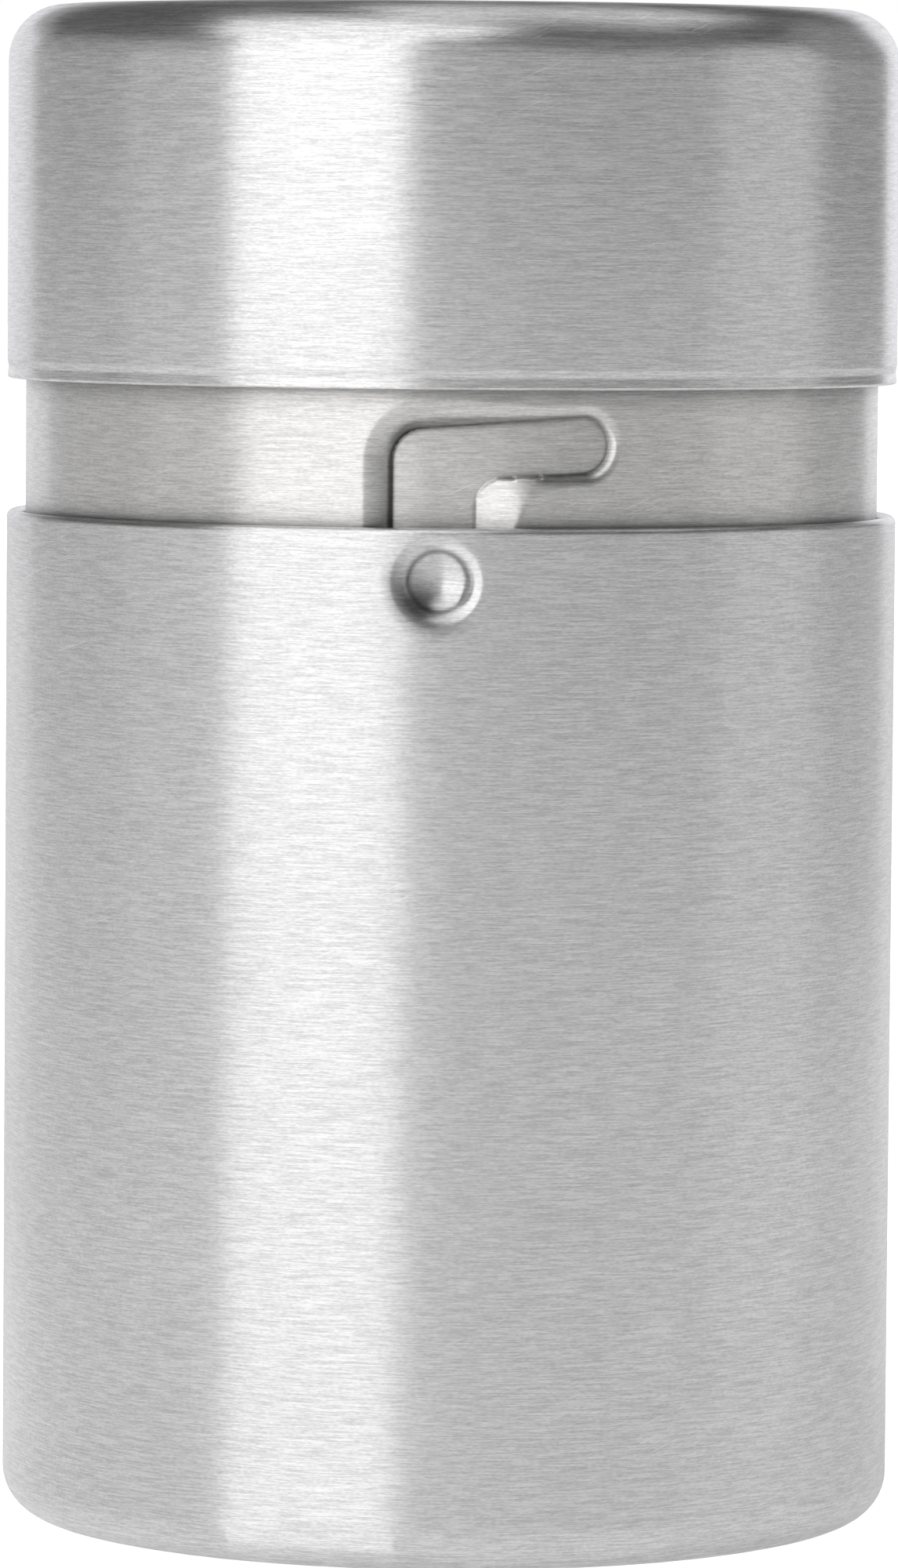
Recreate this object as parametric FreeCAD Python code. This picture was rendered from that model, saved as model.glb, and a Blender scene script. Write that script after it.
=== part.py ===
import FreeCAD, Part
import math
import os

# Bayonet-lid spice shaker in pressed steel, in millimetres.
# The origin is the centre of the base, +Z is up and the photographed front looks along -Y.
# The lid is drawn raised, with its neck standing out of the cup and the cup's dimples in the tracks' legs.

# Cup
OUTER_RADIUS = 25.0
CUP_HEIGHT = 56.6
CUP_WALL = 0.75
BASE_CORNER_RADIUS = 2.6
FOOT_INNER_RADIUS = 18.5
BASE_RECESS = 0.6
RIM_ROUNDING = 0.36

# Dimples pressed into the cup, which run in the tracks
PAIR_COUNT = 3
DIMPLE_ANGLE = -1.6
DIMPLE_BELOW_RIM = 2.9
DIMPLE_DEPTH = 1.07
DIMPLE_BALL_RADIUS = 1.87
DIMPLE_MOUTH_BLEND = 0.8
DIMPLE_ROOT_BLEND = 0.4

# Lid shell
LID_RAISED = 7.4
SHELL_HEIGHT = 21.2
SHELL_WALL = 0.75
SHOULDER_RADIUS = 3.1
TOP_OPENING_RADIUS = 19.5
LIP_BEND_RADIUS = 1.0
RECESS_DEPTH = 2.0
HEM_HEIGHT = 1.3
HEM_FOLD_HEIGHT = 0.9
HEM_DRAW_IN = 0.08
HEM_ROUNDING = 0.3

# Neck sleeve, fixed in the shell and sliding in the cup
SLEEVE_WALL = 0.6
SLEEVE_BELOW_LID_RIM = 14.5
SLIDE_CLEARANCE = 0.3
SEAT_CLEARANCE = 0.03
FLANGE_INNER_RADIUS = 19.8

# Tracks pressed into the sleeve: an upright leg and an arm that rises to its end
LEG_ANGLE = -2.4
LEG_WIDTH = 4.7
ARM_REACH = 9.76
ARM_WIDTH = 3.0
ARM_SLOPE = 4.0
ARM_END_BELOW_LID_RIM = 3.0
TRACK_DEPTH = 1.0
TRACK_CORNER_RADIUS = 1.76
TRACK_INNER_CORNER_RADIUS = 1.2
TRACK_LIP_BLEND = 0.7

# Perforated disc
DISC_THICKNESS = 0.6
DISC_EDGE_SETBACK = 1.3
HOLE_DIAMETER = 2.4
HOLE_PITCH = 4.2
HOLE_RINGS = 3

# A small length by which a cutting body runs past the face that it opens
OVERRUN = 1.0

cup_inner_radius = OUTER_RADIUS - CUP_WALL
sleeve_outer_radius = cup_inner_radius - SLIDE_CLEARANCE
sleeve_inner_radius = sleeve_outer_radius - SLEEVE_WALL
track_floor_radius = sleeve_outer_radius - TRACK_DEPTH
lid_rim_z = CUP_HEIGHT + LID_RAISED
lid_top_z = lid_rim_z + SHELL_HEIGHT
lip_edge_z = lid_top_z - RECESS_DEPTH
flange_z = lip_edge_z - DISC_THICKNESS
sleeve_bottom_z = lid_rim_z - SLEEVE_BELOW_LID_RIM


def point(across, up):
    """A point of a turned profile: its distance from the axis and its height."""
    return FreeCAD.Vector(across, 0, up)


def rounded_edges(corners):
    """Edges of a closed outline through corners given as (point, radius), with tangent arcs."""
    count = len(corners)
    starts = []
    ends = []
    middles = []
    for index, (corner, radius) in enumerate(corners):
        to_previous = (corners[index - 1][0] - corner).normalize()
        to_next = (corners[(index + 1) % count][0] - corner).normalize()
        half_turn = (math.pi - to_previous.getAngle(to_next)) / 2
        run = radius * math.tan(half_turn)
        starts.append(corner + to_previous * run)
        ends.append(corner + to_next * run)
        if radius:
            inward = (to_previous + to_next).normalize()
            sagitta = radius / math.cos(half_turn) - radius
            middles.append(corner + inward * sagitta)
        else:
            middles.append(None)
    edges = []
    for index in range(count):
        if middles[index] is not None:
            edges.append(Part.Arc(starts[index], middles[index], ends[index]).toShape())
        following = starts[(index + 1) % count]
        if ends[index].distanceToPoint(following) > Part.Precision.confusion():
            edges.append(Part.LineSegment(ends[index], following).toShape())
    return edges


def rounded_face(corners):
    """The flat face inside a rounded outline."""
    return Part.Face(Part.Wire(rounded_edges(corners)))


def turned(corners):
    """The solid that a rounded profile sweeps about the vertical axis."""
    solid = rounded_face(corners).revolve(FreeCAD.Vector(0, 0, 0), FreeCAD.Vector(0, 0, 1), 360)
    return Part.Solid(solid) if solid.ShapeType != "Solid" else solid


def direction_at(angle):
    """The outward direction at an angle from the front, positive to the right."""
    turn = math.radians(angle)
    return FreeCAD.Vector(math.sin(turn), -math.cos(turn), 0)


def repeat_angles(first):
    """The angles of the equally spaced dimples or tracks."""
    return [first + step * 360 / PAIR_COUNT for step in range(PAIR_COUNT)]


def ring(inner_radius, outer_radius, low, high):
    """A plain ring between two radii and two heights."""
    base = FreeCAD.Vector(0, 0, low)
    outer = Part.makeCylinder(outer_radius, high - low, base)
    return outer.cut(Part.makeCylinder(inner_radius, high - low, base))


def edges_round(shape, centre, reach, radius_from_axis):
    """Edges within reach of a point that lie on the cylinder of the given radius."""
    found = []
    for edge in shape.Edges:
        samples = edge.discretize(5)
        near = all(sample.distanceToPoint(centre) < reach for sample in samples)
        on_wall = all(abs(math.hypot(s.x, s.y) - radius_from_axis) < OVERRUN / 100 for s in samples)
        if near and on_wall:
            found.append(edge)
    return found


def cup_profile():
    """Sheet section of the cup, with its foot ring, raised base and round rim."""
    inner_floor = BASE_RECESS + CUP_WALL
    foot_inner = FOOT_INNER_RADIUS - BASE_RECESS
    sheet_shift = CUP_WALL * math.tan(math.radians(22.5))
    return [
        (point(0, BASE_RECESS), 0),
        (point(foot_inner, BASE_RECESS), 0),
        (point(FOOT_INNER_RADIUS, 0), 0),
        (point(OUTER_RADIUS, 0), BASE_CORNER_RADIUS),
        (point(OUTER_RADIUS, CUP_HEIGHT), RIM_ROUNDING),
        (point(cup_inner_radius, CUP_HEIGHT), RIM_ROUNDING),
        (point(cup_inner_radius, CUP_WALL), BASE_CORNER_RADIUS - CUP_WALL),
        (point(FOOT_INNER_RADIUS + sheet_shift, CUP_WALL), 0),
        (point(foot_inner + sheet_shift, inner_floor), 0),
        (point(0, inner_floor), 0),
    ]


def make_cup():
    """The drawn cup, with ball-shaped dimples pressed inward just below its rim."""
    cup = turned(cup_profile())
    ball_axis_radius = OUTER_RADIUS - DIMPLE_DEPTH + DIMPLE_BALL_RADIUS
    height = CUP_HEIGHT - DIMPLE_BELOW_RIM
    nose_radius = DIMPLE_BALL_RADIUS + CUP_WALL
    inside = Part.makeCylinder(cup_inner_radius + CUP_WALL / 2, CUP_HEIGHT)
    for angle in repeat_angles(DIMPLE_ANGLE):
        outward = direction_at(angle)
        centre = outward * ball_axis_radius + FreeCAD.Vector(0, 0, height)
        cup = cup.fuse(Part.makeSphere(nose_radius, centre).common(inside))
        cup = cup.cut(Part.makeSphere(DIMPLE_BALL_RADIUS, centre))
    for angle in repeat_angles(DIMPLE_ANGLE):
        outward = direction_at(angle)
        mouth = outward * OUTER_RADIUS + FreeCAD.Vector(0, 0, height)
        root = outward * cup_inner_radius + FreeCAD.Vector(0, 0, height)
        mouth_edges = edges_round(cup, mouth, nose_radius, OUTER_RADIUS)
        cup = cup.makeFillet(DIMPLE_MOUTH_BLEND, mouth_edges)
        root_edges = edges_round(cup, root, nose_radius, cup_inner_radius)
        cup = cup.makeFillet(DIMPLE_ROOT_BLEND, root_edges)
    return cup


def shell_profile():
    """Sheet section of the lid shell: folded hem, wall, shoulder, crest and turned-down lip."""
    hem_outer = OUTER_RADIUS - HEM_DRAW_IN
    hem_inner = sleeve_outer_radius + SEAT_CLEARANCE
    wall_inner = OUTER_RADIUS - SHELL_WALL
    lip_outer = TOP_OPENING_RADIUS + SHELL_WALL
    return [
        (point(hem_inner, lid_rim_z), 0),
        (point(hem_outer, lid_rim_z), HEM_ROUNDING),
        (point(hem_outer, lid_rim_z + HEM_FOLD_HEIGHT), 0),
        (point(OUTER_RADIUS, lid_rim_z + HEM_HEIGHT), 0),
        (point(OUTER_RADIUS, lid_top_z), SHOULDER_RADIUS),
        (point(TOP_OPENING_RADIUS, lid_top_z), LIP_BEND_RADIUS),
        (point(TOP_OPENING_RADIUS, lip_edge_z), 0),
        (point(lip_outer, lip_edge_z), 0),
        (point(lip_outer, lid_top_z - SHELL_WALL), 0),
        (point(wall_inner, lid_top_z - SHELL_WALL), SHOULDER_RADIUS - SHELL_WALL),
        (point(wall_inner, lid_rim_z + HEM_HEIGHT), 0),
        (point(hem_inner, lid_rim_z + HEM_FOLD_HEIGHT), 0),
    ]


def make_lid_shell():
    """The drawn outer shell of the lid."""
    return turned(shell_profile())


def sleeve_profile():
    """Sheet section of the neck sleeve, with the flange at its top that carries the disc."""
    return [
        (point(sleeve_inner_radius, sleeve_bottom_z), 0),
        (point(sleeve_outer_radius, sleeve_bottom_z), 0),
        (point(sleeve_outer_radius, flange_z), 0),
        (point(FLANGE_INNER_RADIUS, flange_z), 0),
        (point(FLANGE_INNER_RADIUS, flange_z - SLEEVE_WALL), 0),
        (point(sleeve_inner_radius, flange_z - SLEEVE_WALL), 0),
    ]


def track_prism(angle, grow):
    """A track's outline, grown all round, standing as a prism square to the sleeve at the track."""
    middle = (ARM_REACH - LEG_WIDTH / 2) / 2
    outward = direction_at(angle + math.degrees(middle / sleeve_outer_radius))
    sideways = FreeCAD.Vector(-outward.y, outward.x, 0)
    slope = math.tan(math.radians(ARM_SLOPE))
    half_arm = ARM_WIDTH / 2 + grow
    arm_end_z = lid_rim_z - ARM_END_BELOW_LID_RIM
    arm_end_centre = ARM_REACH - ARM_WIDTH / 2

    def arm_height(along, offset):
        return arm_end_z + (along - arm_end_centre) * slope + offset / math.cos(math.radians(ARM_SLOPE))

    def spot(along, up):
        return outward * track_floor_radius / 2 + sideways * (along - middle) + FreeCAD.Vector(0, 0, up)

    def arm_spot(offset):
        tip = ARM_REACH + grow
        tilt = math.radians(ARM_SLOPE)
        return spot(tip - offset * math.sin(tilt), arm_height(tip, 0) + offset * math.cos(tilt))

    left = -LEG_WIDTH / 2 - grow
    right = LEG_WIDTH / 2 + grow
    bottom = sleeve_bottom_z - OVERRUN
    corners = [
        (spot(left, bottom), 0),
        (spot(left, arm_height(left, half_arm)), TRACK_CORNER_RADIUS + grow),
        (arm_spot(half_arm), half_arm),
        (arm_spot(-half_arm), half_arm),
        (spot(right, arm_height(right, -half_arm)), TRACK_INNER_CORNER_RADIUS - grow),
        (spot(right, bottom), 0),
    ]
    return rounded_face(corners).extrude(outward * sleeve_outer_radius)


def make_neck_sleeve():
    """The sleeve, with a bayonet track pressed inward for each dimple of the cup."""
    sleeve = turned(sleeve_profile())
    low = sleeve_bottom_z
    inner_skin = ring(track_floor_radius - SLEEVE_WALL, sleeve_inner_radius + SLEEVE_WALL / 2, low, flange_z)
    outer_skin = ring(track_floor_radius, OUTER_RADIUS + OVERRUN, low - OVERRUN, flange_z)
    for angle in repeat_angles(LEG_ANGLE):
        sleeve = sleeve.fuse(track_prism(angle, SLEEVE_WALL).common(inner_skin))
        sleeve = sleeve.cut(track_prism(angle, 0).common(outer_skin))
    sleeve = sleeve.removeSplitter()
    reach = SLEEVE_BELOW_LID_RIM
    for angle in repeat_angles(LEG_ANGLE):
        middle_z = lid_rim_z - SLEEVE_BELOW_LID_RIM / 2
        mouth = direction_at(angle) * sleeve_outer_radius + FreeCAD.Vector(0, 0, middle_z)
        lips = []
        for edge in edges_round(sleeve, mouth, reach, sleeve_outer_radius):
            level = edge.BoundBox.ZLength < OVERRUN / 100
            if not level:
                lips.append(edge)
        sleeve = sleeve.makeFillet(TRACK_LIP_BLEND, lips)
    return sleeve


def make_shaker_disc():
    """The perforated disc: a centre hole and rings of holes, six more in each ring."""
    disc_radius = sleeve_outer_radius - DISC_EDGE_SETBACK
    base = FreeCAD.Vector(0, 0, flange_z)
    disc = Part.makeCylinder(disc_radius, DISC_THICKNESS, base)
    holes = [Part.makeCylinder(HOLE_DIAMETER / 2, DISC_THICKNESS, base)]
    for ring_number in range(1, HOLE_RINGS + 1):
        hole_count = 6 * ring_number
        for step in range(hole_count):
            place = direction_at(step * 360 / hole_count) * HOLE_PITCH * ring_number
            holes.append(Part.makeCylinder(HOLE_DIAMETER / 2, DISC_THICKNESS, base + place))
    return disc.cut(Part.makeCompound(holes))


def write_nodes():
    """Write each piece to its own file."""
    os.makedirs("parts", exist_ok=True)
    pieces = {
        "cup": make_cup(),
        "lid_shell": make_lid_shell(),
        "neck_sleeve": make_neck_sleeve(),
        "shaker_disc": make_shaker_disc(),
    }
    for name, shape in pieces.items():
        shape = shape.Solids[0] if len(shape.Solids) == 1 else shape
        print(name, shape.ShapeType, "valid", shape.isValid(), "volume", round(shape.Volume, 1))
        shape.exportStep("parts/" + name + ".step")


write_nodes()
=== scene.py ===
"""Looks of the spice shaker: brushed-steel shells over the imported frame, a pale floor and soft light."""

import math

import bmesh
import bpy
import numpy as np
from mathutils import Matrix, Vector

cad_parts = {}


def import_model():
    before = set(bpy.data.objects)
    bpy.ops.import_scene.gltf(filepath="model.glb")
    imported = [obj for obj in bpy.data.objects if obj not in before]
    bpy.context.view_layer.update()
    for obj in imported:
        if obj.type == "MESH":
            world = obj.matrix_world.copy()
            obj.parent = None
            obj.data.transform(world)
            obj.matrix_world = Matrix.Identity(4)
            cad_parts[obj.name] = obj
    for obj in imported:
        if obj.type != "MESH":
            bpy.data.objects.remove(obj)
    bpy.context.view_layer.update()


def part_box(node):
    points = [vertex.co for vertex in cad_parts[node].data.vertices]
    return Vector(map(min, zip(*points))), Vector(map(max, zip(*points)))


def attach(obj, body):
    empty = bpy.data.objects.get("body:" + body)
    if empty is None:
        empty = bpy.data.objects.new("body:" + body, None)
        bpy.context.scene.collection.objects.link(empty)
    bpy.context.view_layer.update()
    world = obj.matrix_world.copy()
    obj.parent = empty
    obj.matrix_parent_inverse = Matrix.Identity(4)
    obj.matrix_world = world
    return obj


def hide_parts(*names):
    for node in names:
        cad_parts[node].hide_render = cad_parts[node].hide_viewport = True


MM = 0.001

# Sheet sizes that the frame's boxes don't give, in millimetres as in the source of the solids
CUP_WALL = 0.75
BASE_CORNER_RADIUS = 2.6
FOOT_INNER_RADIUS = 18.5
BASE_RECESS = 0.6
BASE_STEP_RADIUS = 0.5
RIM_ROUNDING = 0.36
PAIR_COUNT = 3
DIMPLE_ANGLE = -1.6
DIMPLE_BELOW_RIM = 2.9
DIMPLE_DEPTH = 1.07
DIMPLE_BOWL_RADIUS = 1.6
DIMPLE_MOUTH_RADIUS = 2.6
DIMPLE_BEND_TURN = math.radians(60)
SHELL_WALL = 0.75
SHOULDER_RADIUS = 3.1
TOP_OPENING_RADIUS = 19.5
LIP_BEND_RADIUS = 1.0
LID_TOP_INSET = 0.35
HEM_HEIGHT = 1.05
HEM_GROOVE_HEIGHT = 0.64
HEM_GROOVE_DEPTH = 0.07
HEM_EDGE_ROUNDING = 0.14
HEM_BEND = 0.5
SEAT_CLEARANCE = 0.03
SLEEVE_WALL = 0.6
SLEEVE_TOP_BEND = 1.0
FLANGE_INNER_RADIUS = 19.8
LEG_ANGLE = -2.4
LEG_WIDTH = 4.7
ARM_REACH = 9.76
ARM_WIDTH = 3.0
ARM_SLOPE = 4.0
ARM_END_BELOW_LID_RIM = 3.0
TRACK_DEPTH = 1.0
TRACK_CORNER_RADIUS = 1.76
TRACK_INNER_CORNER_RADIUS = 1.5
RAMP_WIDTH = 3.9
RAMP_TAPER = 0.62
RAMP_FADE = 6.0
RAMP_REACH = 3.0
RAMP_CENTRE = 1.5
TRACK_END_SHARE = 0.45
TRACK_BEND_RADIUS = 1.85
TRACK_BEND_TURN = math.radians(60)

# How wide the painted shade is where a floor meets its wall, and how dark the painted shade is there and on
# the wall away from the light
CREASE_WIDTH = 0.13
TRACK_CREASE_PAINTED_SHADE = 0.75
TRACK_HEEL_PAINTED_SHADE = 1.1
DIMPLE_CREASE_PAINTED_SHADE = 0.35
DIMPLE_HEEL_PAINTED_SHADE = 0.6

# Mesh steps: plain turned stretches, and the fine patches over tracks and dimples
COARSE_STEP = math.radians(1.5)
FINE_STEP = math.radians(0.25)
FINE_ROW = 0.1
ARC_STEP = math.radians(9)

# How far inside a wall's face the pressed stretch still counts as that wall, and when two points are one
WALL_MARGIN = 0.1
SAME_POINT = 1e-6

# Noise of the brushed steel, scaled per metre round the axis and up it
FINE_SCALE = (560, 12500)
STREAK_SCALE = (150, 7000)
SPECKLE_SCALE = (3500, 12000)
CLOUD_SCALE = (40, 60)
SCRATCH_SCALE = (260, 9000)
SCRATCH_TILT = 24.0

# How high each kind of noise stands in the bump, whose full height is in metres
FINE_HEIGHT = 0.8
STREAK_HEIGHT = 0.5
SPECKLE_HEIGHT = 0.45
BUMP_HEIGHT = 0.00002

# Which values of the noise become scratches, and where the clouds let them through
SCRATCH_STRENGTH = 0.6
SCRATCH_FROM = (0.68, 0.74)
SCRATCHED_CLOUDS = (0.52, 0.62)

# How much the streaks, clouds and pressed floors change the roughness
STREAK_WEAR = (-0.04, 0.05)
CLOUD_WEAR = 0.03
DULL_ROUGHNESS = 0.12

# How much each kind of noise changes the shade, and the darkest and lightest shade of the colour
FINE_SHADE = 0.8
FINE_FROM = (0.36, 0.64)
STREAK_SHADE = 0.1
SPECKLE_SHADE = (-0.15, 0.35)
DARKEST_SHADE = 0.8
LIGHTEST_SHADE = 1.16

# Painted shade in hollows, from occlusion: how far off, in metres, steel still darkens them, the light kept,
# and the openness it is read from; and the colour kept under the painted crease and heel shade
HOLLOW_REACH = 0.0016
HOLLOW_SAMPLES = 8
HOLLOW_KEPT = (0.12, 1.0)
HOLLOW_OPEN = (0.25, 0.95)
PAINTED_SHADE_KEPT = 0.15

# Colours of the sheets, and the share by which brushing draws highlights upright
SHEET_COLOUR = (0.67, 0.664, 0.667)
SLEEVE_COLOUR = (0.655, 0.647, 0.642)
DISC_COLOUR = (0.62, 0.615, 0.61)
UPRIGHT_STRETCH = 0.75
DISC_STRETCH = 0.3
QUARTER_TURN = 0.25

# The photograph's frame and view
FRAME_HEIGHT_PX = 2000
FOCAL_PX = 11510
SENSOR_MM = 36
CAMERA_DISTANCE = 0.508
CAMERA_HEIGHT = 0.0754
CAMERA_PITCH = math.radians(3.85)
CAMERA_ROLL = math.radians(0.45)
CAMERA_CLIP = 0.01

# The stage: brightness of the surround, and of the floor to the camera and in reflections
WORLD_LEVEL = 0.395
FLOOR_CAMERA_SHARE = 0.85
FLOOR_GLOSSY_SHARE = 0.37
STAGE_WIDTH = 8
CEILING_UP = 1.9
CEILING_LEVEL = 0.12
TOP_PANEL_WIDTH = 1.4
TOP_PANEL_SIDE = 0.45
TOP_PANEL_UP = 1.7
TOP_PANEL_LEVEL = 0.85

# Height of a sheet that lies on the floor, and the number of its edge points
CARD_LIFT = 0.0004
CARD_POINTS = 9

# Upright panels: name, azimuth from and to, lower and upper edge, distance, brightness, tone
PLAIN = (1, 1, 1)
COOL = (0.965, 0.97, 1.0)
REFLECTORS = (
    ("backdrop_left", -180, -138, 0.0, 0.6, 1.9, 0.97, COOL),
    ("backdrop_right", 149, 180, 0.0, 0.75, 1.9, 1.05, COOL),
    ("side_left", -92, -62, 0.0, 0.5, 1.5, 0.6, PLAIN),
    ("side_right", 72, 106, 0.0, 0.6, 1.5, 0.66, PLAIN),
    ("flag_right", 112, 147, 0.0, 1.4, 1.7, 0.3, PLAIN),
)

# Soft lights: name, azimuth, elevation, distance, width, height, power; all look at one point
LIGHT_TARGET = (0, 0, 0.045)
SOFTBOXES = (
    ("key", -35, 12, 1.2, 1.04, 1.3, 5.4),
    ("overhead", -36, 58, 1.5, 1.7, 0.95, 6.4),
)


def rounded(corners):
    """Points of a closed outline through corners given as (across, up, radius), with arcs."""
    count = len(corners)
    points = []
    for index, (across, up, radius) in enumerate(corners):
        corner = np.array((across, up))
        before = np.array(corners[index - 1][:2]) - corner
        after = np.array(corners[(index + 1) % count][:2]) - corner
        before /= np.linalg.norm(before)
        after /= np.linalg.norm(after)
        if not radius:
            points.append(corner)
            continue
        half_turn = (math.pi - math.acos(np.clip(before @ after, -1, 1))) / 2
        run = radius * math.tan(half_turn)
        bisector = (before + after) / np.linalg.norm(before + after)
        centre = corner + bisector * radius / math.cos(half_turn)
        start = corner + before * run - centre
        steps = max(2, math.ceil(2 * half_turn / ARC_STEP))
        spin = math.copysign(1, before[1] * after[0] - before[0] * after[1])
        for step in range(steps + 1):
            turn = spin * 2 * half_turn * step / steps
            points.append(centre + np.array((
                start[0] * math.cos(turn) - start[1] * math.sin(turn),
                start[0] * math.sin(turn) + start[1] * math.cos(turn),
            )))
    kept = [p for i, p in enumerate(points) if np.linalg.norm(p - points[i - 1]) > SAME_POINT]
    return np.array(kept)


def divided(points, low, high, longest):
    """The same closed outline, with its runs between two heights divided into short steps."""
    result = []
    for index, start in enumerate(points):
        end = points[(index + 1) % len(points)]
        result.append(start)
        inside = low - longest < min(start[1], end[1]) and max(start[1], end[1]) < high + longest
        parts = 1
        if inside:
            parts = max(1, math.ceil(np.linalg.norm(end - start) / longest))
        for step in range(1, parts):
            result.append(start + (end - start) * step / parts)
    return np.array(result)


def with_levels(corners, levels):
    """Corners with a plain point added at each level where an upright run passes it."""
    result = []
    for index, corner in enumerate(corners):
        after = corners[(index + 1) % len(corners)]
        result.append(corner)
        if abs(corner[0] - after[0]) < SAME_POINT:
            passed = [z for z in levels if min(corner[1], after[1]) < z < max(corner[1], after[1])]
            for level in sorted(passed, reverse=corner[1] > after[1]):
                result.append((corner[0], level, 0))
    return result


def turn_angles(first, low, high):
    """Angles round the axis, close together between low and high about each pressed feature."""
    span = 2 * math.pi / PAIR_COUNT
    fine = np.arange(low, high, FINE_STEP)
    coarse_count = math.ceil((span - (high - low)) / COARSE_STEP)
    coarse = np.linspace(high, low + span, coarse_count, endpoint=False)
    one = np.concatenate((fine, coarse))
    return np.concatenate([first + one + step * span for step in range(PAIR_COUNT)])


def turned_mesh(name, profile, angles, press):
    """A piece turned from a closed profile; press gives its radii, how dull it is, and its painted shade."""
    across = np.broadcast_to(profile[:, 0], (len(angles), len(profile)))
    up = np.broadcast_to(profile[:, 1], across.shape)
    around = np.broadcast_to(angles[:, None], across.shape)
    pressed, dull, painted_shade = press(across, around, up)
    verts = np.stack((pressed * np.sin(around), -pressed * np.cos(around), up), axis=-1) * MM
    rows, columns = across.shape
    index = np.arange(rows * columns).reshape(rows, columns)
    next_row = np.roll(index, -1, axis=0)
    faces = np.stack(
        (index, np.roll(index, -1, axis=1), np.roll(next_row, -1, axis=1), next_row), axis=-1
    ).reshape(-1, 4)
    mesh = bpy.data.meshes.new(name)
    mesh.from_pydata(verts.reshape(-1, 3).tolist(), [], faces.tolist())
    for key, marks in (("dull", dull), ("painted_shade", painted_shade)):
        layer = mesh.attributes.new(key, "FLOAT", "POINT")
        layer.data.foreach_set("value", marks.reshape(-1).astype(np.float32))
    work = bmesh.new()
    work.from_mesh(mesh)
    bmesh.ops.remove_doubles(work, verts=work.verts, dist=1e-7)
    bmesh.ops.dissolve_degenerate(work, edges=work.edges, dist=1e-7)
    bmesh.ops.recalc_face_normals(work, faces=work.faces)
    work.to_mesh(mesh)
    work.free()
    for polygon in mesh.polygons:
        polygon.use_smooth = True
    mesh.update()
    piece = bpy.data.objects.new(name, mesh)
    bpy.context.scene.collection.objects.link(piece)
    return piece


def wrapped(around, first):
    """Angles about the nearest repeat of a pressed feature."""
    span = 2 * math.pi / PAIR_COUNT
    return (around - first + span / 2) % span - span / 2


def unpressed(across, around, up):
    """Radii and marks of a piece with nothing pressed into it."""
    return across, np.zeros_like(across), np.zeros_like(across)


def cup_piece():
    """The cup with its foot ring, rim and dimples."""
    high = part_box("cup")[1]
    outer = high[0] / MM
    top = high[2] / MM
    inner = outer - CUP_WALL
    foot_edge = FOOT_INNER_RADIUS - BASE_RECESS
    shift = CUP_WALL * math.tan(math.pi / 8)
    floor = BASE_RECESS + CUP_WALL
    centre_up = top - DIMPLE_BELOW_RIM
    reach = DIMPLE_MOUTH_RADIUS + CUP_WALL
    corners = [
        (0, BASE_RECESS, 0),
        (foot_edge, BASE_RECESS, BASE_STEP_RADIUS),
        (FOOT_INNER_RADIUS, 0, BASE_STEP_RADIUS),
        (outer, 0, BASE_CORNER_RADIUS),
        (outer, top, RIM_ROUNDING),
        (inner, top, RIM_ROUNDING),
        (inner, CUP_WALL, BASE_CORNER_RADIUS - CUP_WALL),
        (FOOT_INNER_RADIUS + shift, CUP_WALL, BASE_STEP_RADIUS),
        (foot_edge + shift, floor, BASE_STEP_RADIUS),
        (0, floor, 0),
    ]
    corners = with_levels(corners, [centre_up - reach])
    profile = divided(rounded(corners), centre_up - reach, top, FINE_ROW)
    blend_radius = (DIMPLE_MOUTH_RADIUS - DIMPLE_BOWL_RADIUS) / math.sin(DIMPLE_BEND_TURN)
    blend_depth = blend_radius * (1 - math.cos(DIMPLE_BEND_TURN))
    bowl_height = DIMPLE_DEPTH - blend_depth
    ball = (DIMPLE_BOWL_RADIUS ** 2 + bowl_height ** 2) / (2 * bowl_height)

    def press(across, around, up):
        """Radii and marks of the wall with a ball pressed in at each dimple, with painted shade in its
        crease and on its lower left.
        """
        side = wrapped(around, math.radians(DIMPLE_ANGLE)) * outer
        away = np.hypot(side, up - centre_up)
        on_wall = (across > inner - WALL_MARGIN) & (up > centre_up - reach)
        is_inner = across < outer - CUP_WALL / 2
        narrower = away * DIMPLE_MOUTH_RADIUS / (DIMPLE_MOUTH_RADIUS + CUP_WALL / 2)
        away = np.where(is_inner, narrower, away)
        bowl = DIMPLE_DEPTH - (ball - np.sqrt(np.maximum(ball ** 2 - away ** 2, 0)))
        rest = np.clip(DIMPLE_MOUTH_RADIUS - away, 0, blend_radius)
        blend = blend_radius - np.sqrt(np.maximum(blend_radius ** 2 - rest ** 2, 0))
        depth = np.where(away < DIMPLE_BOWL_RADIUS, bowl, blend)
        depth = np.where(on_wall, depth, 0)
        # Painted shade: a dark line along the bowl's crease and a darker lower-left slope, away from the
        # light
        crease_painted_shade = np.exp(-((away - DIMPLE_BOWL_RADIUS) / CREASE_WIDTH) ** 2)
        heel_painted_shade = np.clip((centre_up - up - side) / DIMPLE_MOUTH_RADIUS, 0, 1)
        shade = heel_painted_shade * np.clip(2 - 2 * np.abs(away / DIMPLE_BOWL_RADIUS - 1), 0, 1)
        painted_shade = np.where(on_wall, DIMPLE_CREASE_PAINTED_SHADE * crease_painted_shade + DIMPLE_HEEL_PAINTED_SHADE * shade, 0)
        return across - depth, np.zeros_like(across), painted_shade

    half = reach / outer
    angles = turn_angles(math.radians(DIMPLE_ANGLE), -half, half)
    return turned_mesh("cup_skin", profile, angles, press)


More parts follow.
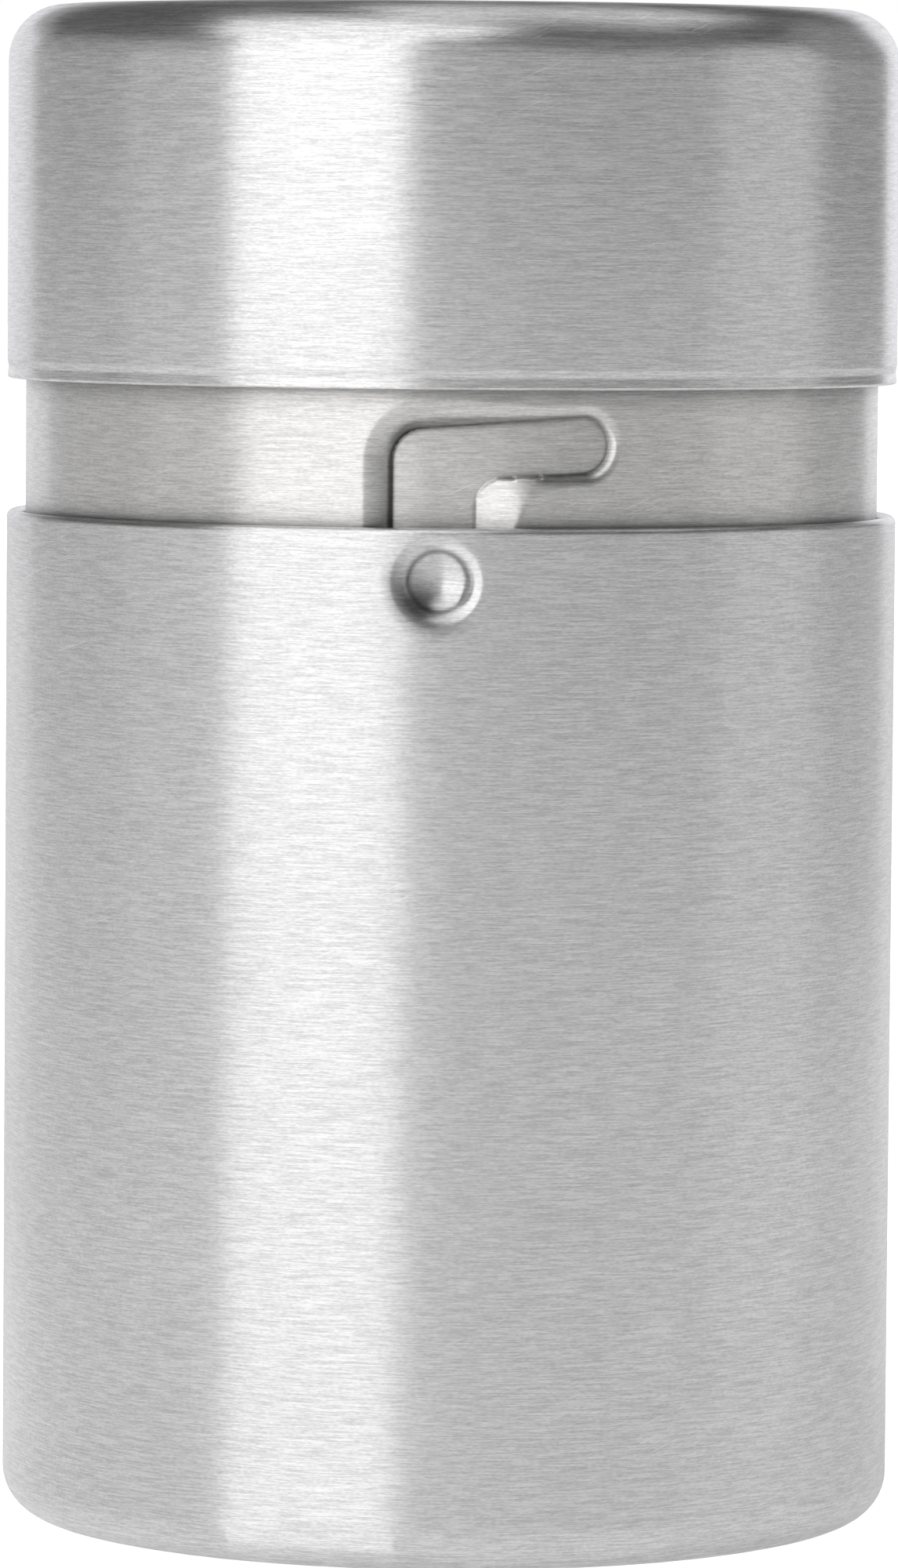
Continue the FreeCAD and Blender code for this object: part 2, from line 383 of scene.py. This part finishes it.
def shell_piece():
    """The lid shell with its hem, shoulder and the lip round the top opening."""
    low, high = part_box("lid_shell")
    sleeve_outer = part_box("neck_sleeve")[1][0] / MM
    outer = high[0] / MM
    rim = low[2] / MM
    top = high[2] / MM - LID_TOP_INSET
    lip_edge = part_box("shaker_disc")[1][2] / MM
    hem_inner = sleeve_outer + SEAT_CLEARANCE
    wall_inner = outer - SHELL_WALL
    lip_outer = TOP_OPENING_RADIUS + SHELL_WALL
    profile = rounded([
        (hem_inner, rim, HEM_EDGE_ROUNDING),
        (outer, rim, HEM_EDGE_ROUNDING),
        (outer - HEM_GROOVE_DEPTH, rim + HEM_GROOVE_HEIGHT, HEM_BEND),
        (outer, rim + HEM_HEIGHT, HEM_BEND),
        (outer, top, SHOULDER_RADIUS),
        (TOP_OPENING_RADIUS, top, LIP_BEND_RADIUS),
        (TOP_OPENING_RADIUS, lip_edge, 0),
        (lip_outer, lip_edge, 0),
        (lip_outer, top - SHELL_WALL, LIP_BEND_RADIUS - SHELL_WALL),
        (wall_inner, top - SHELL_WALL, SHOULDER_RADIUS - SHELL_WALL),
        (wall_inner, rim + HEM_HEIGHT, 0),
        (hem_inner, rim + HEM_GROOVE_HEIGHT, 0),
    ])
    angles = np.arange(0, 2 * math.pi - COARSE_STEP / 2, COARSE_STEP)
    return turned_mesh("lid_shell_skin", profile, angles, unpressed)


def track_outline(rim, bottom):
    """The edge of a track's floor, unrolled: distance along the sleeve from the leg, and height."""
    slope = math.radians(ARM_SLOPE)
    end_centre = ARM_REACH - ARM_WIDTH / 2
    half_arm = ARM_WIDTH / 2
    half_leg = LEG_WIDTH / 2

    def arm(along, offset):
        """Height of the arm's sloping middle line, or of an edge beside it."""
        up = rim - ARM_END_BELOW_LID_RIM + (along - end_centre) * math.tan(slope)
        return up + offset / math.cos(slope)

    def tip(offset):
        """A corner at the end of the arm, rounded to a half circle."""
        across = ARM_REACH - offset * math.sin(slope)
        return across, arm(ARM_REACH, 0) + offset * math.cos(slope), half_arm

    return rounded([
        (-half_leg, bottom, 0),
        (-half_leg, arm(-half_leg, half_arm), TRACK_CORNER_RADIUS),
        tip(half_arm),
        tip(-half_arm),
        (half_leg, arm(half_leg, -half_arm), TRACK_INNER_CORNER_RADIUS),
        (half_leg, bottom, 0),
    ])


def distance_to(outline, along, up):
    """Signed distance to a closed outline, negative inside it."""
    nearest = np.full(along.shape, np.inf)
    inside = np.zeros(along.shape, bool)
    for index, end in enumerate(outline):
        start = outline[index - 1]
        run = end - start
        share = ((along - start[0]) * run[0] + (up - start[1]) * run[1]) / (run @ run)
        share = np.clip(share, 0, 1)
        away = np.hypot(along - start[0] - share * run[0], up - start[1] - share * run[1])
        nearest = np.minimum(nearest, away)
        if start[1] != end[1]:
            crosses = (start[1] > up) != (end[1] > up)
            inside ^= crosses & (along < start[0] + (up - start[1]) * run[0] / run[1])
    return np.where(inside, -nearest, nearest)


def bend_ramp(rim, along, up):
    """The broad ramp inside a track's bend, which faces the leg: how near it is, and how deep."""
    slope = math.radians(ARM_SLOPE)
    end_centre = ARM_REACH - ARM_WIDTH / 2
    arm_up = rim - ARM_END_BELOW_LID_RIM + (along - end_centre) * math.tan(slope)
    from_leg = along - LEG_WIDTH / 2
    from_arm = (arm_up - up) * math.cos(slope) - ARM_WIDTH / 2
    width = np.maximum(RAMP_WIDTH - RAMP_TAPER * from_arm, LEG_WIDTH / 4)
    left = np.clip(1 - from_leg / width, 0, 1)
    depth = left * (1 - np.exp(-RAMP_FADE * left)) / (1 - math.exp(-RAMP_FADE))
    from_bend = np.hypot(from_leg - RAMP_CENTRE, from_arm - RAMP_CENTRE)
    near = np.where((from_leg > 0) & (from_arm > 0), np.exp(-(from_bend / RAMP_REACH) ** 4), 0)
    return near, depth


def sleeve_piece():
    """The neck sleeve with its flange and its pressed tracks."""
    low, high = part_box("neck_sleeve")
    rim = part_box("lid_shell")[0][2] / MM
    outer = high[0] / MM
    bottom = low[2] / MM
    top = high[2] / MM
    inner = outer - SLEEVE_WALL
    corners = with_levels([
        (inner, bottom, 0),
        (outer, bottom, 0),
        (outer, top, SLEEVE_TOP_BEND),
        (FLANGE_INNER_RADIUS, top, 0),
        (FLANGE_INNER_RADIUS, top - SLEEVE_WALL, 0),
        (inner, top - SLEEVE_WALL, SLEEVE_TOP_BEND - SLEEVE_WALL),
    ], [rim])
    profile = divided(rounded(corners), bottom, rim, FINE_ROW)
    outline = track_outline(rim, bottom - 2 * LEG_WIDTH)
    bend_depth = TRACK_BEND_RADIUS * (1 - math.cos(TRACK_BEND_TURN))
    bend_width = TRACK_BEND_RADIUS * math.sin(TRACK_BEND_TURN)

    def press(across, around, up):
        """Radii and marks of the wall with a track pressed in at each leg, with painted shade in its crease
        and on the wall left of the leg.
        """
        on_wall = (up <= rim) & (across > inner - WALL_MARGIN)
        along = wrapped(around, math.radians(LEG_ANGLE)) * outer
        away = np.full(across.shape, np.inf)
        away[on_wall] = distance_to(outline, along[on_wall], up[on_wall])
        is_inner = across < outer - SLEEVE_WALL / 2
        away = np.where(is_inner, away - SLEEVE_WALL / 2, away)
        run = np.clip(along / (ARM_REACH - ARM_WIDTH / 2), 0, 1)
        share = 1 - (1 - TRACK_END_SHARE) * (1 - np.cos(math.pi * run)) / 2
        rest = np.clip(bend_width - away / share, 0, bend_width)
        bend = (TRACK_BEND_RADIUS - np.sqrt(TRACK_BEND_RADIUS ** 2 - rest ** 2)) / bend_depth
        near, ramp = bend_ramp(rim, along, up)
        wall = bend + (ramp - bend) * near
        depth = np.where(away <= 0, 1.0, wall) * TRACK_DEPTH * share
        # Painted shade: a dark line where the floor meets its wall, and a darker wall left of the leg, away
        # from the light
        crease_painted_shade = np.exp(-(away / CREASE_WIDTH) ** 2) * (1 - near)
        heel_painted_shade = np.clip(-along / LEG_WIDTH, 0, 1) * np.where(away > 0, bend, 0)
        painted_shade = np.where(on_wall, TRACK_CREASE_PAINTED_SHADE * crease_painted_shade + TRACK_HEEL_PAINTED_SHADE * heel_painted_shade, 0)
        return across - np.where(on_wall, depth, 0), np.where(away <= 0, 1.0, 0.0), painted_shade

    before = -(LEG_WIDTH / 2 + bend_width + SLEEVE_WALL) / outer
    after = (ARM_REACH + bend_width + SLEEVE_WALL) / outer
    angles = turn_angles(math.radians(LEG_ANGLE), before, after)
    return turned_mesh("neck_sleeve_skin", profile, angles, press)


def node(tree, kind, **values):
    """A shader node with its unlinked inputs and settings set by name."""
    made = tree.nodes.new(kind)
    for key, value in values.items():
        if key in made.inputs:
            made.inputs[key].default_value = value
        else:
            setattr(made, key, value)
    return made


def stretched_noise(tree, coords, scale, detail, roughness, tilt=0.0):
    """Noise drawn out round the axis, as brushing leaves it; scale is per metre across and up."""
    turned = node(tree, "ShaderNodeMapping")
    turned.inputs["Rotation"].default_value = (0, math.radians(tilt), 0)
    mapping = node(tree, "ShaderNodeMapping")
    mapping.inputs["Scale"].default_value = (scale[0], scale[0], scale[1])
    noise = node(tree, "ShaderNodeTexNoise", Scale=1.0, Detail=detail, Roughness=roughness)
    tree.links.new(coords, turned.inputs["Vector"])
    tree.links.new(turned.outputs["Vector"], mapping.inputs["Vector"])
    tree.links.new(mapping.outputs["Vector"], noise.inputs["Vector"])
    return noise.outputs["Fac"]


def spread(tree, value, low, high, from_low=0.3, from_high=0.7):
    """A value mapped to a range."""
    made = node(tree, "ShaderNodeMapRange")
    made.inputs["From Min"].default_value = from_low
    made.inputs["From Max"].default_value = from_high
    made.inputs["To Min"].default_value = low
    made.inputs["To Max"].default_value = high
    tree.links.new(value, made.inputs["Value"])
    return made.outputs["Result"]


def combined(tree, operation, first, second, third=None):
    """A sum, product or other arithmetic of sockets and numbers."""
    made = node(tree, "ShaderNodeMath", operation=operation)
    for index, value in enumerate((first, second, third)):
        if value is None:
            continue
        if isinstance(value, (int, float)):
            made.inputs[index].default_value = value
        else:
            tree.links.new(value, made.inputs[index])
    return made.outputs[0]


def noise_bump(tree, fine, streaks, speckle, scratches, grain):
    """The normal of the brushed face, from its noise."""
    raised_streaks = combined(tree, "MULTIPLY", streaks, STREAK_HEIGHT)
    brushing = combined(tree, "MULTIPLY_ADD", fine, FINE_HEIGHT, raised_streaks)
    cut = combined(tree, "SUBTRACT", brushing, scratches)
    height = combined(tree, "MULTIPLY_ADD", speckle, SPECKLE_HEIGHT, cut)
    bump = node(tree, "ShaderNodeBump", Strength=grain, Distance=BUMP_HEIGHT)
    tree.links.new(height, bump.inputs["Height"])
    return bump.outputs["Normal"]


def noise_shade(tree, colour, fine, streaks, speckle, scratches):
    """The colour between its darkest and lightest shade, from the noise."""
    fine_lines = spread(tree, fine, 0, FINE_SHADE, *FINE_FROM)
    lines = combined(tree, "ADD", fine_lines, spread(tree, streaks, -STREAK_SHADE, STREAK_SHADE))
    marks = combined(tree, "ADD", spread(tree, speckle, *SPECKLE_SHADE), scratches)
    shade = node(tree, "ShaderNodeMix", data_type="RGBA")
    shade.inputs["A"].default_value = (*[c * DARKEST_SHADE for c in colour], 1)
    shade.inputs["B"].default_value = (*[min(1, c * LIGHTEST_SHADE) for c in colour], 1)
    tree.links.new(combined(tree, "ADD", lines, marks), shade.inputs["Factor"])
    return shade.outputs["Result"]


def painted_shade_share(tree, neighbours):
    """The share of the colour kept under painted shade: occlusion darkening in hollows and between parts,
    and the painted crease and heel shade.
    """
    painted_shade = node(tree, "ShaderNodeAttribute", attribute_name="painted_shade").outputs["Fac"]
    hollow = node(tree, "ShaderNodeAmbientOcclusion", samples=HOLLOW_SAMPLES, Distance=HOLLOW_REACH)
    hollow.only_local = not neighbours
    # Painted shade from occlusion: darker where steel closes in
    occlusion_painted_shade = spread(tree, hollow.outputs["AO"], *HOLLOW_KEPT, *HOLLOW_OPEN)
    return combined(tree, "MULTIPLY", occlusion_painted_shade, spread(tree, painted_shade, 1.0, PAINTED_SHADE_KEPT, 0.0, 1.0))


def brushed_steel(name, colour, roughness, grain, neighbours, upright_stretch=UPRIGHT_STRETCH):
    """Steel brushed round the axis: duller where pressed, with painted shade in hollows, from its own steel
    or also from neighbours.
    """
    material = bpy.data.materials.new(name)
    material.use_nodes = True
    tree = material.node_tree
    shader = tree.nodes["Principled BSDF"]
    coords = node(tree, "ShaderNodeTexCoord").outputs["Object"]
    fine = stretched_noise(tree, coords, FINE_SCALE, 2.0, 0.7)
    streaks = stretched_noise(tree, coords, STREAK_SCALE, 2.0, 0.6)
    speckle = stretched_noise(tree, coords, SPECKLE_SCALE, 1.0, 0.6)
    clouds = stretched_noise(tree, coords, CLOUD_SCALE, 3.0, 0.5)
    slanting = stretched_noise(tree, coords, SCRATCH_SCALE, 1.0, 0.5, tilt=SCRATCH_TILT)
    cuts = spread(tree, slanting, 0, SCRATCH_STRENGTH, *SCRATCH_FROM)
    scratches = combined(tree, "MULTIPLY", cuts, spread(tree, clouds, 0, 1, *SCRATCHED_CLOUDS))
    normal = noise_bump(tree, fine, streaks, speckle, scratches, grain)
    tree.links.new(normal, shader.inputs["Normal"])
    dull = node(tree, "ShaderNodeAttribute", attribute_name="dull").outputs["Fac"]
    worn = spread(tree, streaks, roughness + STREAK_WEAR[0], roughness + STREAK_WEAR[1])
    uneven = combined(tree, "ADD", worn, spread(tree, clouds, -CLOUD_WEAR, CLOUD_WEAR))
    rough = combined(tree, "MULTIPLY_ADD", dull, DULL_ROUGHNESS, uneven)
    tree.links.new(rough, shader.inputs["Roughness"])
    darker = node(tree, "ShaderNodeVectorMath", operation="SCALE")
    shade = noise_shade(tree, colour, fine, streaks, speckle, scratches)
    tree.links.new(shade, darker.inputs[0])
    tree.links.new(painted_shade_share(tree, neighbours), darker.inputs["Scale"])
    tree.links.new(darker.outputs["Vector"], shader.inputs["Base Color"])
    shader.inputs["Metallic"].default_value = 1.0
    shader.inputs["Anisotropic"].default_value = upright_stretch
    shader.inputs["Anisotropic Rotation"].default_value = QUARTER_TURN
    tangent = node(tree, "ShaderNodeTangent", direction_type="RADIAL", axis="Z")
    tree.links.new(tangent.outputs["Tangent"], shader.inputs["Tangent"])
    return material


def assign(piece, material):
    """Give a piece one material."""
    piece.data.materials.clear()
    piece.data.materials.append(material)


def white_ground(name, camera_share, glossy_share):
    """A pale matt surface that the camera sees as white, apart from shadows, and reflections as pale."""
    material = bpy.data.materials.new(name)
    material.use_nodes = True
    tree = material.node_tree
    shader = tree.nodes["Principled BSDF"]
    shader.inputs["Base Color"].default_value = (0.9, 0.9, 0.9, 1)
    shader.inputs["Roughness"].default_value = 0.9
    shader.inputs["Specular IOR Level"].default_value = 0.0
    path = node(tree, "ShaderNodeLightPath")
    glossy = combined(tree, "MAXIMUM", path.outputs["Is Glossy Ray"], path.outputs["Is Transmission Ray"])
    reflected = combined(tree, "MULTIPLY", glossy, glossy_share)
    strength = combined(tree, "MULTIPLY_ADD", path.outputs["Is Camera Ray"], camera_share, reflected)
    shader.inputs["Emission Color"].default_value = (1, 1, 1, 1)
    tree.links.new(strength, shader.inputs["Emission Strength"])
    return material


def plane(name, width, height, centre, facing, material):
    """A flat stage panel, facing a point."""
    mesh = bpy.data.meshes.new(name)
    half_w = width / 2
    half_h = height / 2
    corners = [(-half_w, -half_h, 0), (half_w, -half_h, 0), (half_w, half_h, 0), (-half_w, half_h, 0)]
    mesh.from_pydata(corners, [], [(0, 1, 2, 3)])
    panel = bpy.data.objects.new(name, mesh)
    bpy.context.scene.collection.objects.link(panel)
    aim = (Vector(facing) - Vector(centre)).to_track_quat("Z", "Y")
    panel.matrix_world = Matrix.Translation(centre) @ aim.to_matrix().to_4x4()
    assign(panel, material)
    return panel


def softbox(name, azimuth, elevation, distance, width, height, power):
    """A rectangular soft light aimed at the shaker; azimuth 0 is the camera's side, right positive."""
    data = bpy.data.lights.new(name, "AREA")
    data.shape = "RECTANGLE"
    data.size = width
    data.size_y = height
    data.energy = power
    lamp = bpy.data.objects.new(name, data)
    bpy.context.scene.collection.objects.link(lamp)
    side = math.radians(azimuth)
    rise = math.radians(elevation)
    level = math.cos(rise)
    offset = Vector((math.sin(side) * level, -math.cos(side) * level, math.sin(rise)))
    lamp.location = Vector(LIGHT_TARGET) + offset * distance
    lamp.rotation_euler = (-offset).to_track_quat("-Z", "Y").to_euler()


def make_camera():
    """The camera of the photograph: long lens, slightly above, with a small roll."""
    data = bpy.data.cameras.new("camera")
    data.sensor_width = SENSOR_MM
    data.lens = FOCAL_PX / FRAME_HEIGHT_PX * SENSOR_MM
    data.clip_start = CAMERA_CLIP
    camera = bpy.data.objects.new("camera", data)
    bpy.context.scene.collection.objects.link(camera)
    upright = Matrix.Rotation(math.pi / 2 - CAMERA_PITCH, 4, "X")
    place = Matrix.Translation((0, -CAMERA_DISTANCE, CAMERA_HEIGHT))
    camera.matrix_world = place @ upright @ Matrix.Rotation(CAMERA_ROLL, 4, "Z")
    bpy.context.scene.camera = camera


def make_world(level):
    """An even grey surround that the camera sees as white."""
    world = bpy.data.worlds.new("surround")
    bpy.context.scene.world = world
    world.use_nodes = True
    tree = world.node_tree
    background = tree.nodes["Background"]
    path = node(tree, "ShaderNodeLightPath")
    strength = spread(tree, path.outputs["Is Camera Ray"], level, 1.0, 0.0, 1.0)
    background.inputs["Color"].default_value = (1, 1, 1, 1)
    tree.links.new(strength, background.inputs["Strength"])


def emitter(name, level, tone=PLAIN):
    """A plain panel material of one brightness."""
    material = bpy.data.materials.new(name)
    material.use_nodes = True
    tree = material.node_tree
    shader = tree.nodes["Principled BSDF"]
    shader.inputs["Base Color"].default_value = (0, 0, 0, 1)
    shader.inputs["Specular IOR Level"].default_value = 0.0
    shader.inputs["Emission Color"].default_value = (*tone, 1)
    shader.inputs["Emission Strength"].default_value = level
    return material


def reflector(name, azimuth_from, azimuth_to, low, high, distance, level, tone):
    """An upright panel of one brightness that only reflections and light see, between two azimuths."""
    middle = math.radians((azimuth_from + azimuth_to) / 2)
    width = 2 * distance * math.tan(math.radians(azimuth_to - azimuth_from) / 2)
    height = (low + high) / 2
    centre = (distance * math.sin(middle), -distance * math.cos(middle), height)
    glow = emitter(name + "_glow", level, tone)
    panel = plane(name, width, high - low, centre, (0, 0, height), glow)
    panel.visible_camera = False


def floor_card(name, azimuth_from, azimuth_to, reach, level):
    """A bright sheet before the shaker, seen only in the steel: the table that the key light falls on."""
    # Its sides are where the wall mirrors the two azimuths, so the light band stays upright to the foot
    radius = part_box("cup")[1][0]
    verts = []
    for azimuth in np.radians(np.linspace(azimuth_from, azimuth_to, CARD_POINTS)):
        for away in (0, reach):
            across = radius * math.sin(azimuth / 2) + away * math.sin(azimuth)
            toward = radius * math.cos(azimuth / 2) + away * math.cos(azimuth)
            verts.append((across, -toward, CARD_LIFT))
    faces = [(i, i + 2, i + 3, i + 1) for i in range(0, len(verts) - 2, 2)]
    mesh = bpy.data.meshes.new(name)
    mesh.from_pydata(verts, [], faces)
    card = bpy.data.objects.new(name, mesh)
    bpy.context.scene.collection.objects.link(card)
    assign(card, emitter(name + "_glow", level))
    card.visible_camera = False
    card.visible_diffuse = False
    card.visible_shadow = False


def make_stage():
    """Floor, surround, lights and the white backdrop that the edges of the steel pick up."""
    make_world(WORLD_LEVEL)
    white = white_ground("floor_white", FLOOR_CAMERA_SHARE, FLOOR_GLOSSY_SHARE)
    plane("floor", STAGE_WIDTH, STAGE_WIDTH, (0, 0, 0), (0, 0, 1), white)
    for panel in REFLECTORS:
        reflector(*panel)
    floor_card("lit_table", -59, -13, 1.1, 1.22)
    dim = emitter("ceiling_glow", CEILING_LEVEL)
    ceiling = plane("ceiling", STAGE_WIDTH, STAGE_WIDTH, (0, 0, CEILING_UP), (0, 0, 0), dim)
    ceiling.visible_camera = False
    above = (TOP_PANEL_SIDE, TOP_PANEL_SIDE, TOP_PANEL_UP)
    below = (TOP_PANEL_SIDE, TOP_PANEL_SIDE, 0)
    bright = emitter("top_glow", TOP_PANEL_LEVEL)
    top_panel = plane("top_panel", TOP_PANEL_WIDTH, TOP_PANEL_WIDTH, above, below, bright)
    top_panel.visible_camera = False
    for light in SOFTBOXES:
        softbox(*light)


def main():
    """Dress the frame, light it and place the camera."""
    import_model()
    cup = cup_piece()
    shell = shell_piece()
    sleeve = sleeve_piece()
    cup_steel = brushed_steel("cup_brushed_steel", SHEET_COLOUR, 0.3, 0.35, False)
    lid_steel = brushed_steel("lid_brushed_steel", SHEET_COLOUR, 0.28, 0.35, False)
    sleeve_steel = brushed_steel("sleeve_brushed_steel", SLEEVE_COLOUR, 0.3, 0.35, True)
    disc_steel = brushed_steel("disc_satin_steel", DISC_COLOUR, 0.36, 0.2, True, DISC_STRETCH)
    for piece, body, replaced, slot, material in (
        (cup, "cup_body", "cup", "cup_steel", cup_steel),
        (shell, "lid_body", "lid_shell", "lid_steel", lid_steel),
        (sleeve, "lid_body", "neck_sleeve", "sleeve_steel", sleeve_steel),
    ):
        assign(piece, material)
        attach(piece, body)
        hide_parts(replaced)
    disc = bpy.data.objects["shaker_disc"]
    for material_slot in disc.material_slots:
        material_slot.material = disc_steel
    make_stage()
    make_camera()
    bpy.context.scene.view_settings.view_transform = "Standard"


main()
